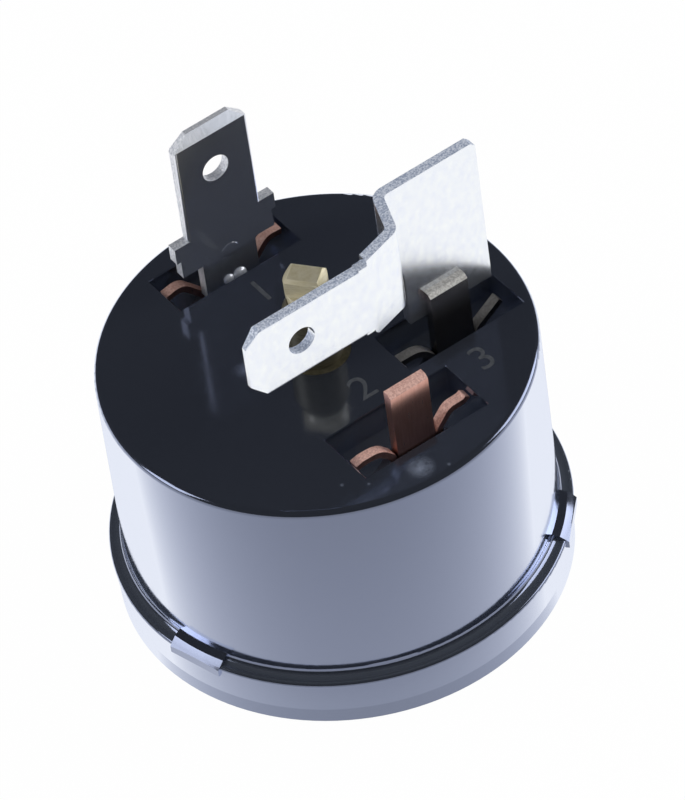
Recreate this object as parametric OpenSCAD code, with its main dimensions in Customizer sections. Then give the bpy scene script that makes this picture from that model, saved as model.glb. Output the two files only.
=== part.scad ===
// Round plug-in compressor overload protector: a moulded base with three terminals on
// top, and a snap-acting bimetal disc with two pairs of contacts inside, open below.
// The origin is on the axis at the open lower face, and +Z points to the terminals.

/* [Housing] */
// Diameter of the moulded body, which the holding clip grips
body_d = 31.75; // [30:0.25:36]
// Height of the moulded body from its open lower face to its top face
body_h = 20.8; // [18:0.1:26]
// Radius of the rounded rim round the top face
rim_r = 0.45; // [0.2:0.05:0.8]
// Step of the flange beyond the body at the flange's upper edge
flange_step = 1.02; // [0.6:0.02:1.4]
// Draft of the flange's outer wall, measured at its lower edge
flange_draft = 0.36; // [0:0.02:0.5]
// Height of the flange's ledge
flange_h = 4.15; // [3:0.05:5]
// Radius of the rounded edge of the ledge
ledge_edge_r = 0.25; // [0.1:0.01:0.35]
// Radius of the hollow corner between the ledge and the body
foot_r = 0.6; // [0.2:0.05:0.65]
// Bevel round the flange's lower edge
flange_bevel = 0.25; // [0.1:0.05:0.4]
// Thickness of the round side wall
wall = 2.2; // [1.8:0.1:3]
// Thickness of the top wall, above the chamber
top_wall = 6.0; // [4:0.1:7]
// Width of the step at the mouth of the chamber
mouth_step = 0.7; // [0.3:0.1:1]
// Depth of the step at the mouth of the chamber
mouth_h = 1.4; // [0.8:0.1:2]

/* [Locating lugs] */
// Length of each lug along the flange
lug_l = 4.4; // [3.6:0.1:7]
// Height of a lug against the body, above the ledge
lug_rise = 0.54; // [0.3:0.02:0.7]
// Depth of a lug's flat face below the ledge
lug_drop = 0.8; // [0.4:0.1:1.5]
// Angle of the first of the three lugs
lug_angle = -44.5; // [-60:0.5:0]

/* [Pockets] */
// Length of the pockets round brackets 1 and 2
pocket_l = 10.6; // [9.6:0.1:11]
// Width of the pocket round bracket 1
pocket_1_w = 3.9; // [3.6:0.1:4.2]
// Width of the pocket round bracket 2
pocket_2_w = 4.9; // [4:0.1:5.2]
// Shift of that pocket from its bracket, to the left
pocket_2_shift = 0.37; // [0:0.01:0.5]
// Length of the pocket round bracket 3, which is near the rim
pocket_3_l = 10.0; // [9.6:0.1:10.4]
// Width of the pocket round bracket 3
pocket_3_w = 4.3; // [3.8:0.1:4.6]
// Depth of the pockets below the top face
pocket_depth = 2.4; // [1.4:0.1:2.8]
// Bevel round the pockets' upper edges
pocket_bevel = 0.06; // [0.04:0.01:0.3]

/* [Brackets] */
// Thickness of the brackets' copper strip
strip_t = 0.8; // [0.6:0.05:1]
// Width of a bracket's middle blade
blade_w = 3.25; // [2.8:0.05:3.6]
// Height of a bracket's blade above the top face
blade_h = 3.6; // [2.5:0.1:4.5]
// Bevel along the outer upper edge of a blade
blade_bevel = 0.28; // [0.1:0.02:0.4]
// Width of each ear beside the blade
ear_w = 0.5; // [0.4:0.05:0.7]
// Gap between the blade and each ear
ear_gap = 0.1; // [0.05:0.01:0.3]
// Inside radius of an ear's bend at the pocket's floor
ear_bend_r = 0.4; // [0.2:0.05:1]
// Width of a bracket inside the chamber, where it bears on the top wall
shoulder_w = 7.4; // [6.6:0.1:8]
// Running clearance of a strip in its slot, on each side
slot_gap = 0.1; // [0.05:0.01:0.2]

/* [Places of the brackets, to the middle of the strip] */
// Sideways place of bracket 1
bracket_1_x = 0.35; // [-1:0.05:1]
// Distance of bracket 1 behind the axis
bracket_1_y = 12.0; // [11.6:0.05:12.2]
// Sideways place of bracket 2
bracket_2_x = 0.97; // [-1:0.01:1.2]
// Distance of bracket 2 in front of the axis
bracket_2_y = 9.9; // [9.4:0.05:10.6]
// Sideways place of bracket 3
bracket_3_x = 8.9; // [8.4:0.05:9]
// Distance of bracket 3 in front of the axis
bracket_3_y = 3.95; // [3.4:0.05:4.4]

/* [Tabs] */
// Width of both push-on tabs
tab_w = 6.3; // [4.8:0.1:6.4]
// Thickness of both push-on tabs
tab_t = 0.8; // [0.5:0.05:0.9]
// Diameter of the hole in each tab
tab_hole_d = 2.2; // [1.4:0.1:2.6]
// Radius of the rounded long edges of a tab
tab_edge_r = 0.22; // [0.1:0.01:0.35]
// Distance of the hole from the end of the tab
tab_hole_l = 4.4; // [3.4:0.1:5]
// Width of the cut corners at the end of a tab
tab_corner_w = 1.3; // [0.8:0.1:1.6]
// Length of the cut corners at the end of a tab
tab_corner_l = 1.25; // [0.8:0.1:1.6]
// Thickness left at the bevelled end of a tab
tab_tip_t = 0.4; // [0.3:0.05:0.6]
// Length of the bevel at the end of a tab
tab_bevel_l = 1.1; // [0.6:0.1:1.5]

/* [Terminal 1] */
// Height of the end of tab 1 above the top face
tab_1_h = 14.3; // [12:0.1:16]
// Height of the shoulders of terminal 1 above the top face
shoulder_1_h = 4.5; // [3.5:0.1:5.5]
// Width over the stop lugs of terminal 1
stop_1_w = 8.7; // [8:0.1:9.4]
// Height of the stop lugs of terminal 1
stop_1_h = 1.4; // [0.8:0.1:2]
// Width of the stem of terminal 1
stem_1_w = 8.0; // [7:0.1:8.6]
// Height of the stem's lower edge above the top face
stem_1_low = 1.5; // [0.6:0.1:2]
// Width of the foot of terminal 1, which is welded to bracket 1
foot_1_w = 4.6; // [3.6:0.1:6]

/* [Terminal 3] */
// Height of the upper edge of terminal 3 above the top face
flag_3_h = 14.55; // [12:0.05:16]
// Radius of the fillet under its slanting leg
leg_fillet_r = 1.4; // [0.4:0.1:2]
// Height of the lower edge of its upright plate above the top face
plate_3_low = 1.2; // [0.6:0.1:2]
// Right-hand edge of that plate, from the axis
plate_3_right = 13.05; // [12:0.05:14]
// Left-hand edge of that plate below the flag, from the axis
plate_3_left = 5.9; // [5:0.1:7]
// Length of the plate from its right-hand edge to the first bend
plate_3_l = 7.6; // [6.5:0.1:8.5]
// Turn of the first bend towards the front
flag_turn = 70; // [50:1:85]
// Turn of the second bend, back again
flag_return = 54; // [40:1:60]
// Length of the leg between those bends
flag_leg_l = 2.57; // [2:0.01:3.2]
// Length of the slanting leg before the tab
slant_leg_l = 2.6; // [2:0.1:3.2]
// Step of the flag above and below the tab
flag_step = 0.5; // [0.3:0.05:0.8]
// Length of tab 3 from its step to its end
tab_3_l = 10.4; // [8:0.1:11]

/* [Contacts and disc] */
// Distance of the contacts from the axis
contact_r = 7.6; // [6.8:0.1:7.7]
// Diameter of the contact buttons
button_d = 3.2; // [2.6:0.1:3.6]
// Height of a contact button
button_h = 0.9; // [0.6:0.1:1.2]
// Diameter of a contact's shank
shank_d = 1.5; // [1.2:0.1:1.8]
// Diameter of a contact's riveted tail
tail_d = 2.3; // [2:0.1:2.8]
// Height of a contact's riveted tail
tail_h = 0.4; // [0.3:0.05:0.6]
// Diameter of the bimetal disc
disc_d = 24.0; // [22:0.1:25]
// Thickness of the bimetal disc
disc_t = 0.3; // [0.2:0.02:0.5]
// Height of the disc's dish, from its middle to its rim
dish_h = 1.6; // [0.8:0.1:2]
// Height of the disc's lower face above the open lower face, at the axis
disc_z = 4.8; // [4.4:0.1:6]
// Clearance between the disc and what is riveted to it
disc_gap = 0.02; // [0.01:0.01:0.05]
// Clearance of the disc from the stud's head and from the washer
seat_gap = 0.06; // [0.03:0.01:0.1]

/* [Calibration stud] */
// Diameter of the stud
stud_d = 3.0; // [2.6:0.1:3.4]
// Diameter of the stud's head under the disc
stud_head_d = 5.2; // [4.4:0.1:6]
// Height of the stud's head
stud_head_h = 1.5; // [1:0.1:2]
// Height of the stud's end above the top face
stud_end_h = 7.7; // [6:0.1:8.4]
// Width of the stud's pinched end
pinch_w = 3.2; // [2.6:0.1:3.6]
// Thickness of the stud's pinched end
pinch_t = 2.0; // [1.4:0.1:2.4]
// Height of the stud's pinched end
pinch_h = 1.8; // [1.2:0.1:2.4]
// Width and height of the bevels at the stud's end
pinch_bevel = 0.5; // [0.2:0.05:0.7]
// Angle of the pinched end's flat sides
pinch_angle = -52; // [-90:1:90]
// Diameter of the brass insert
insert_d = 5.0; // [4.4:0.1:5.6]
// Diameter of the insert's neck above the top face
collar_d = 4.0; // [3.6:0.1:4.8]
// Height of the insert's neck, below its cone
collar_h = 4.3; // [3:0.1:4.8]
// Height of the cone at the insert's end
cone_h = 1.0; // [0.6:0.1:1.4]
// Diameter of the insert's end
cone_d = 3.2; // [3.1:0.1:3.8]
// Wall of the moulded boss round the insert
boss_wall = 1.6; // [1.2:0.1:2]
// Length of the boss below the top wall
boss_l = 5.0; // [4:0.1:5.5]

/* [Spring and heater] */
// Diameter of the spring's wire
wire_d = 0.6; // [0.4:0.05:0.8]
// Outer diameter of the spring
spring_d = 5.4; // [5:0.1:6]
// Number of turns of the spring
spring_turns = 4; // [3:1:6]
// Thickness of the washer under the spring
washer_t = 0.4; // [0.3:0.05:0.6]
// Diameter of the washer under the spring
washer_d = 6.4; // [6:0.1:7.4]
// Thickness of the heater ribbon
ribbon_t = 0.4; // [0.3:0.05:0.5]
// Height of the heater ribbon
ribbon_h = 2.2; // [1.6:0.1:2.6]
// Spacing of the heater's runs
run_pitch = 1.7; // [1.4:0.1:1.8]

/* [Hidden] */
$fn = 64;
// Overlap of cutting solids past the faces that they cut
past = 1;
// Overlap of the straight and the round lengths of a bent strip
join = 0.05;
// Amount by which a straight length stays inside the round ones, on each face
trim = 0.004;
// Clearance between a shank and its hole
fit = 0.02;

body_r = body_d / 2;
flange_r = body_r + flange_step;
chamber_r = body_r - wall;
ceiling_z = body_h - top_wall;
pocket_z = body_h - pocket_depth;
slot_l = blade_w + 2 * (ear_gap + ear_w);
boss_r = insert_d / 2 + boss_wall;
boss_z = ceiling_z - boss_l;

// Disc: a spherical dish whose rim is higher than its middle
disc_r = disc_d / 2;
dish_r = (disc_r * disc_r + dish_h * dish_h) / (2 * dish_h);
disc_hole_d = stud_d + 0.4;
function dish_rise(r) = dish_r - sqrt(dish_r * dish_r - r * r);
disc_top_z = disc_z + disc_t;
contact_z = disc_top_z + dish_rise(contact_r + button_d / 2) + disc_gap + button_h;
foot_z = contact_z + button_h;
washer_z = disc_top_z + dish_rise(washer_d / 2) + seat_gap;

// Places of the brackets, with -1 or 1 for the side that the foot points to
bracket_1_at = [bracket_1_x, bracket_1_y];
bracket_2_at = [bracket_2_x, -bracket_2_y];
bracket_3_at = [bracket_3_x, -bracket_3_y];

// Bends of the ears, left then right, as the first turn at the pocket's floor and then
// the length, turn and inside radius of each step
ears_1 = [[42, [[1.9, 60, 0.8], [0.75, 0, 0]]], [42, [[1.9, 52, 0.8], [0.7, 0, 0]]]];
ears_2 = [[42, [[0.6, 46, 1.4], [0.55, 15, 1], [0.5, 0, 0]]],
    [42, [[1.15, 46, 0.5], [0.8, -50, 0.15], [0.15, 0, 0]]]];
ears_3 = [[42, [[0.6, 46, 1.4], [1.1, 0, 0]]], [56, [[2.3, 0, 0]]]];

// Pocket 1 leaves the same clearance in front of terminal 1 as behind the bracket
pocket_1_y = bracket_1_y - tab_t / 2;
pocket_3_shift = 0.1;

// Terminal 1 lies against the inner face of blade 1, terminal 3 against that of blade 3
terminal_1_y = bracket_1_y - strip_t / 2 - tab_t / 2;
terminal_3_y = -bracket_3_y + strip_t / 2 + tab_t / 2;

// Bends of terminal 3 seen from above, as length, turn and inside radius
flag_3_bends = [[plate_3_l, flag_turn, 0.5], [flag_leg_l, -flag_return, 0.45],
    [slant_leg_l, flag_return - flag_turn, 2]];
flag_3_end = strip_end(flag_3_bends, tab_t);
tab_3_root = plate_3_right - flag_3_end[0];
step_3_x = tab_3_root + 0.45;
tab_3_y = terminal_3_y - flag_3_end[1];
tab_3_z = body_h + flag_3_h - flag_step - tab_w / 2;

// Heater
ribbon_z = foot_z + strip_t + tail_h + 1.2;

brass = "#b99a55";
copper = "#b06a4c";
tin = "#d8d8da";
silver = "#e3e3e0";

// Flat strip of thickness t, bent in its own plane of view. Each step is its straight
// length, its turn to the left in degrees and its inside radius.
module bent_strip(steps, t, i = 0) {
    if (i < len(steps)) {
        length = steps[i][0];
        turn = steps[i][1];
        mid_r = steps[i][2] + t / 2;
        side = turn < 0 ? -1 : 1;
        before = i == 0 ? 0 : join;
        after = turn == 0 ? 0 : join;
        translate([-before, trim - t / 2]) square([length + before + after, t - 2 * trim]);
        if (turn != 0) {
            translate([length, side * mid_r]) {
                ring_part(mid_r, t, -side * 90, turn);
                rotate(turn) translate([0, -side * mid_r]) bent_strip(steps, t, i + 1);
            }
        }
    }
}

// Place where such a strip ends, from where it starts along +X
function strip_end(steps, t, i = 0, p = [0, 0], a = 0) =
    i == len(steps) ? p :
    let (turn = steps[i][1], b = a + turn, side = turn < 0 ? -1 : 1, m = side * (steps[i][2] + t / 2),
        q = p + steps[i][0] * [cos(a), sin(a)])
    strip_end(steps, t, i + 1, turn == 0 ? q : q + m * [sin(b) - sin(a), cos(a) - cos(b)], b);

// Part of a flat ring of middle radius r and width t, from angle a over turn degrees
module ring_part(r, t, a, turn) {
    far = 3 * (r + t);
    intersection() {
        difference() {
            circle(r + t / 2);
            circle(r - t / 2);
        }
        polygon([[0, 0], [far * cos(a), far * sin(a)],
            [far * cos(a + turn / 2), far * sin(a + turn / 2)],
            [far * cos(a + turn), far * sin(a + turn)]]);
    }
}

// Shape drawn in X and Z, given a thickness along Y that is centred on y
module upright(y, t) {
    translate([0, y + t / 2, 0]) rotate([90, 0, 0]) linear_extrude(t) children();
}

// Outline of a push-on tab that ends at the origin and runs down, w wide and l long
module tab_outline(w, l) {
    polygon([[-w / 2, -l], [w / 2, -l], [w / 2, -tab_corner_l], [w / 2 - tab_corner_w, 0],
        [-w / 2 + tab_corner_w, 0], [-w / 2, -tab_corner_l]]);
}

// Rectangle of w by t about the origin, with rounded corners
module rounded(w, t, r) {
    square([w - 2 * r, t], center = true);
    square([w, t - 2 * r], center = true);
    for (x = [-1, 1], y = [-1, 1]) translate([x * (w / 2 - r), y * (t / 2 - r)]) circle(r);
}

// Push-on tab that ends at the origin and runs down, with rounded edges, a bevelled end
// and a hole
module tab(w, l, t) {
    difference() {
        intersection() {
            upright(0, t) tab_outline(w, l);
            translate([0, 0, -l]) linear_extrude(l) rounded(w, t, tab_edge_r);
            translate([-w / 2, 0, 0]) rotate([90, 0, 90]) linear_extrude(w)
                polygon([[-t / 2, -l], [t / 2, -l], [t / 2, -tab_bevel_l], [tab_tip_t / 2, 0],
                    [-tab_tip_t / 2, 0], [-t / 2, -tab_bevel_l]]);
        }
        translate([0, t / 2 + past, -tab_hole_l]) rotate([90, 0, 0])
            cylinder(h = t + 2 * past, d = tab_hole_d);
    }
}

// Pocket of length l and width w, with bevelled upper edges
module pocket(x, y, l, w) {
    translate([x - l / 2, y - w / 2, pocket_z]) cube([l, w, pocket_depth + past]);
    translate([x, y, body_h]) intersection() {
        upright(0, w + 4 * past) flare(l);
        translate([-l / 2 - 2 * past, 0, 0]) rotate([90, 0, 90]) linear_extrude(l + 4 * past) flare(w);
    }
}

// Outline that widens upwards at 45 degrees, w wide at the lower end of a pocket's bevel
module flare(w) {
    low = w / 2 - past;
    top = w / 2 + pocket_bevel + past;
    polygon([[-low, -pocket_bevel - past], [low, -pocket_bevel - past], [top, past], [-top, past]]);
}

module slot(at) {
    translate([at[0] - slot_l / 2 - slot_gap, at[1] - strip_t / 2 - slot_gap, ceiling_z - past])
        cube([slot_l + 2 * slot_gap, strip_t + 2 * slot_gap, top_wall + past]);
}

// Body of revolution: flange, ledge, hollow corner, body and rounded rim
module housing_outline() {
    foot_x = flange_r - flange_draft;
    polygon([[0, 0], [foot_x - flange_bevel, 0], [foot_x + 0.02, flange_bevel],
        [flange_r, flange_h - ledge_edge_r], [0, flange_h - ledge_edge_r]]);
    square([flange_r - ledge_edge_r, flange_h]);
    translate([flange_r - ledge_edge_r, flange_h - ledge_edge_r]) circle(ledge_edge_r);
    difference() {
        translate([body_r - 0.5, flange_h - 0.5]) square(0.5 + foot_r);
        translate([body_r + foot_r, flange_h + foot_r]) circle(foot_r);
    }
    square([body_r, body_h - rim_r]);
    square([body_r - rim_r, body_h]);
    translate([body_r - rim_r, body_h - rim_r]) circle(rim_r);
}

// Lug with a flat face near the flange's outer wall, and two slopes up to the body
module lug(angle) {
    low_z = flange_h - lug_drop;
    in_r = body_r - wall / 2;
    out_r = flange_r + 0.4;
    edge_z = flange_h - 0.02;
    rotate(angle) intersection() {
        translate([in_r, -lug_l / 2, low_z])
            cube([flange_r - in_r + 0.05, lug_l, lug_drop + lug_rise + past]);
        rotate_extrude() polygon([[in_r, low_z - past], [out_r, low_z - past],
            [out_r, edge_z - (out_r - flange_r)], [flange_r, edge_z],
            [body_r + 0.57 * flange_step, flange_h + 0.6 * lug_rise],
            [body_r, flange_h + lug_rise], [in_r, flange_h + lug_rise]]);
    }
}

module housing() {
    color("#16181b") difference() {
        union() {
            difference() {
                union() {
                    rotate_extrude() housing_outline();
                    for (k = [0:2]) lug(lug_angle + 120 * k);
                }
                translate([0, 0, -past]) cylinder(h = ceiling_z + past, r = chamber_r);
                translate([0, 0, -past]) cylinder(h = mouth_h + past, r = chamber_r + mouth_step);
            }
            translate([0, 0, boss_z]) cylinder(h = boss_l + past, r = boss_r);
        }
        translate([0, 0, boss_z - past]) cylinder(h = body_h, d = insert_d);
        pocket(bracket_1_x, pocket_1_y, pocket_l, pocket_1_w);
        pocket(bracket_2_x - pocket_2_shift, -bracket_2_y, pocket_l, pocket_2_w);
        pocket(bracket_3_x - pocket_3_shift, -bracket_3_y, pocket_3_l, pocket_3_w);
        for (at = [bracket_1_at, bracket_2_at, bracket_3_at]) slot(at);
    }
}

// Ear that rises from the slot and bends outwards over the pocket's floor
module ear(side, bends) {
    turns = [for (s = bends[1]) [s[0], -side * s[1], s[2]]];
    rise = pocket_z - ceiling_z - 0.1;
    translate([side * (blade_w / 2 + ear_gap + ear_w / 2), ceiling_z - 0.2]) rotate(90)
        bent_strip(concat([[rise + 0.2, -side * bends[0], ear_bend_r]], turns), ear_w);
}

// Cutting prism for the bevel along the upper edge of a blade, on the side of Y given
module blade_edge(at, side) {
    top = body_h + blade_h;
    translate([at[0] - blade_w / 2 - past, at[1], 0]) rotate([90, 0, 90])
        linear_extrude(blade_w + 2 * past)
            polygon([[side * (strip_t / 2 - blade_bevel - past), top + past],
                [side * (strip_t / 2 + past), top - blade_bevel - past],
                [side * (strip_t / 2 + past), top + past]]);
}

// Bracket seen from the front: blade, two ears and the shoulder below the top wall
module bracket_outline(low_z, ears) {
    translate([-blade_w / 2, low_z]) square([blade_w, body_h + blade_h - low_z]);
    translate([-shoulder_w / 2, low_z]) square([shoulder_w, ceiling_z - low_z]);
    ear(-1, ears[0]);
    ear(1, ears[1]);
}

// Bracket whose lower end turns inwards by foot_l, as an L, and carries a fixed contact
module contact_bracket(at, ears, inward) {
    foot_l = abs(at[1]) - contact_r + tail_d / 2 + 0.6;
    bend_r = 0.5 + strip_t / 2;
    low_z = foot_z + bend_r + strip_t / 2;
    color(copper) difference() {
        union() {
            upright(at[1], strip_t) translate([at[0], 0]) bracket_outline(low_z, ears);
            translate([at[0] - shoulder_w / 2, at[1], low_z + 0.5])
                rotate([90, 0, 90]) linear_extrude(shoulder_w)
                    rotate(-90) bent_strip([[0.5, inward * 90, bend_r - strip_t / 2],
                        [foot_l - bend_r, 0, 0]], strip_t);
        }
        translate([0, -inward * contact_r, foot_z - past])
            cylinder(h = strip_t + 2 * past, d = shank_d + 2 * fit);
        blade_edge(at, -inward);
    }
}

module bracket_1() { contact_bracket(bracket_1_at, ears_1, -1); }

module bracket_2() { contact_bracket(bracket_2_at, ears_2, 1); }

module bracket_3() {
    color("#a8a08c") difference() {
        upright(-bracket_3_y, strip_t) translate([bracket_3_x, 0])
            bracket_outline(ribbon_z - 0.6, ears_3);
        blade_edge(bracket_3_at, -1);
    }
}

module terminal_1() {
    end_z = body_h + tab_1_h;
    shoulder_z = body_h + shoulder_1_h;
    color(tin) translate([bracket_1_x, terminal_1_y, 0]) {
        translate([0, 0, end_z]) tab(tab_w, end_z - shoulder_z + 0.5, tab_t);
        upright(0, tab_t) {
            translate([-stop_1_w / 2, shoulder_z - stop_1_h]) square([stop_1_w, stop_1_h]);
            translate([-stem_1_w / 2, body_h + stem_1_low])
                square([stem_1_w, shoulder_1_h - stem_1_low]);
            translate([-foot_1_w / 2, pocket_z + 0.6])
                square([foot_1_w, stem_1_low + pocket_depth]);
        }
    }
}

// Terminal 3 seen from above, from the plate's right-hand edge to the tab's first end
module flag_3_plan() {
    translate([plate_3_right, terminal_3_y]) rotate(180)
        bent_strip(concat(flag_3_bends, [[0.6, 0, 0]]), tab_t);
}

module terminal_3() {
    corner = 0.4;
    top_z = body_h + flag_3_h;
    low_z = tab_3_z - tab_w / 2 - flag_step;
    color(tin) union() {
        intersection() {
            translate([0, 0, body_h]) linear_extrude(flag_3_h) flag_3_plan();
            upright(0, 4 * body_r) {
                polygon(concat(
                    [[step_3_x, top_z], [step_3_x, low_z + 0.3], [step_3_x + 0.3, low_z]],
                    [for (t = [90:-18:0]) [plate_3_left - leg_fillet_r * (1 - cos(t)),
                        low_z - leg_fillet_r * (1 - sin(t))]],
                    [[plate_3_left, body_h + plate_3_low],
                    [plate_3_right, body_h + plate_3_low], [plate_3_right, top_z - corner],
                    [plate_3_right - corner, top_z]]));
                translate([tab_3_root - 0.3, tab_3_z - tab_w / 2]) square([2, tab_w]);
            }
        }
        translate([step_3_x - tab_3_l, tab_3_y, tab_3_z]) rotate([0, -90, 0])
            tab(tab_w, tab_3_l - 0.4, tab_t);
    }
}

// Fixed contact: button below the bracket's foot, shank through it and tail above it
module fixed_contact(side) {
    color(silver) translate([0, side * contact_r, 0]) {
        translate([0, 0, contact_z]) cylinder(h = button_h, d = button_d);
        translate([0, 0, foot_z]) cylinder(h = strip_t, d = shank_d);
        translate([0, 0, foot_z + strip_t]) cylinder(h = tail_h, d = tail_d);
    }
}

module fixed_contact_1() { fixed_contact(1); }

module fixed_contact_2() { fixed_contact(-1); }

// Moving contact: button on the disc's upper face, shank through it and tail under it
module moving_contact(side) {
    low_z = disc_z + dish_rise(contact_r - tail_d / 2) - disc_gap;
    head_z = contact_z - button_h;
    color(silver) translate([0, side * contact_r, 0]) {
        translate([0, 0, head_z]) cylinder(h = button_h, d = button_d);
        translate([0, 0, low_z - tail_h]) cylinder(h = tail_h, d = tail_d);
        translate([0, 0, low_z - tail_h / 2]) cylinder(h = head_z - low_z + tail_h, d = shank_d);
    }
}

module moving_contact_1() { moving_contact(1); }

module moving_contact_2() { moving_contact(-1); }

module bimetal_disc() {
    color("#b7ae9a") difference() {
        translate([0, 0, disc_z]) rotate_extrude() intersection() {
            translate([0, dish_r]) difference() {
                circle(dish_r, $fn = 256);
                circle(dish_r - disc_t, $fn = 256);
            }
            translate([disc_hole_d / 2, -past]) square([disc_r - disc_hole_d / 2, dish_h + 2 * past]);
        }
        for (side = [-1, 1])
            translate([0, side * contact_r, disc_z - past])
                cylinder(h = dish_h + 2 * past, d = shank_d + 0.1);
    }
}

// Stud with a slotted head under the disc and a pinched end above the top face
module calibration_stud() {
    head_z = disc_z - seat_gap + disc_gap - stud_head_h;
    pinch_z = body_h + stud_end_h - pinch_h;
    color(brass) difference() {
        union() {
            translate([0, 0, head_z]) cylinder(h = stud_head_h, d = stud_head_d);
            translate([0, 0, head_z]) cylinder(h = pinch_z + 0.3 - head_z, d = stud_d);
            translate([0, 0, pinch_z]) rotate(pinch_angle) pinched_end();
        }
        translate([-stud_head_d, -0.4, head_z - past]) cube([2 * stud_head_d, 0.8, past + 0.7]);
    }
}

// Flat-sided end, bevelled round its upper face and drawn in to the stud below
module pinched_end() {
    low = 0.4;
    intersection() {
        upright(0, pinch_w) polygon([[-stud_d / 2 + 0.1, 0], [stud_d / 2 - 0.1, 0], [pinch_w / 2, low],
            [pinch_w / 2, pinch_h - pinch_bevel], [pinch_w / 2 - pinch_bevel, pinch_h],
            [-pinch_w / 2 + pinch_bevel, pinch_h], [-pinch_w / 2, pinch_h - pinch_bevel],
            [-pinch_w / 2, low]]);
        translate([-pinch_w, 0, 0]) rotate([90, 0, 90]) linear_extrude(2 * pinch_w)
            polygon([[-pinch_t / 2 - 0.3, 0], [pinch_t / 2 + 0.3, 0], [pinch_t / 2, low],
                [pinch_t / 2, pinch_h - pinch_bevel / 2], [pinch_t / 2 - pinch_bevel / 2, pinch_h],
                [-pinch_t / 2 + pinch_bevel / 2, pinch_h], [-pinch_t / 2, pinch_h - pinch_bevel / 2],
                [-pinch_t / 2, low]]);
        cylinder(h = pinch_h, d = pinch_w);
    }
}

module stud_insert() {
    color(brass) difference() {
        union() {
            translate([0, 0, boss_z]) cylinder(h = body_h - boss_z, d = insert_d - 2 * fit);
            translate([0, 0, body_h - past]) cylinder(h = collar_h + past, d = collar_d);
            translate([0, 0, body_h + collar_h]) cylinder(h = cone_h, d1 = collar_d, d2 = cone_d);
        }
        translate([0, 0, boss_z - past])
            cylinder(h = body_h - boss_z + stud_end_h, d = stud_d + 2 * fit);
    }
}

// Point a of an open coil of n turns between heights z0 and z1
function coil_point(t, n, r, z0, z1) = [r * cos(360 * n * t), r * sin(360 * n * t), z0 + (z1 - z0) * t];

// Round wire swept along a coil
module coil(n, r, wire, z0, z1, steps, sides) {
    rings = [for (i = [0:steps])
        let (t = i / steps, p = coil_point(t, n, r, z0, z1), a = 360 * n * t)
        for (k = [0:sides - 1])
            let (b = 360 * k / sides)
            [p[0] + wire / 2 * cos(b) * cos(a), p[1] + wire / 2 * cos(b) * sin(a),
                p[2] + wire / 2 * sin(b)]];
    sides_faces = [for (i = [0:steps - 1], k = [0:sides - 1])
        let (j = (k + 1) % sides)
        [i * sides + k, i * sides + j, (i + 1) * sides + j, (i + 1) * sides + k]];
    ends = [[for (k = [sides - 1:-1:0]) k], [for (k = [0:sides - 1]) steps * sides + k]];
    polyhedron(rings, concat(sides_faces, ends));
}

module disc_spring() {
    gap = wire_d / 2 + disc_gap;
    color("#8d8f92") coil(spring_turns, (spring_d - wire_d) / 2, wire_d,
        washer_z + washer_t + gap, boss_z - gap, 24 * spring_turns, 8);
}

module disc_washer() {
    color("#8d8f92") difference() {
        translate([0, 0, washer_z]) cylinder(h = washer_t, d = washer_d);
        translate([0, 0, washer_z - past]) cylinder(h = washer_t + 2 * past, d = disc_hole_d);
    }
}

// Straight run of ribbon between two points, with round ends
module run(a, b) {
    d = b - a;
    translate(a) rotate(atan2(d[1], d[0])) translate([0, -ribbon_t / 2]) square([norm(d), ribbon_t]);
    translate(a) circle(ribbon_t / 2);
    translate(b) circle(ribbon_t / 2);
}

// Ribbon that runs from bracket 2 round the boss to bracket 3, in hairpins on one side
module heater_ribbon() {
    start_y = -bracket_2_y + strip_t / 2 + ribbon_t / 2;
    end_y = -bracket_3_y + strip_t / 2 + ribbon_t / 2;
    back_y = bracket_2_y - 1.6;
    left_x = -boss_r - 1.0;
    right_x = bracket_3_x - shoulder_w / 2 + 1.2;
    turn_y = start_y + 2.2;
    points = [[bracket_2_x, start_y], [left_x - 2 * run_pitch, start_y], [left_x - 2 * run_pitch, back_y],
        [left_x - run_pitch, back_y], [left_x - run_pitch, turn_y], [left_x, turn_y], [left_x, back_y],
        [right_x, back_y], [right_x, end_y], [bracket_3_x, end_y]];
    color("#6f6a66") translate([0, 0, ribbon_z]) linear_extrude(ribbon_h)
        for (i = [0:len(points) - 2]) run(points[i], points[i + 1]);
}

housing();
bracket_1();
bracket_2();
bracket_3();
terminal_1();
terminal_3();
fixed_contact_1();
fixed_contact_2();
moving_contact_1();
moving_contact_2();
bimetal_disc();
calibration_stud();
stud_insert();
disc_spring();
disc_washer();
heater_ribbon();
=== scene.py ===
"""Looks of a round plug-in compressor overload protector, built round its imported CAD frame."""

import logging
import math
from dataclasses import dataclass, replace
from enum import Enum
from functools import cache

import bmesh
import bpy
from mathutils import Matrix, Vector

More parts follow.
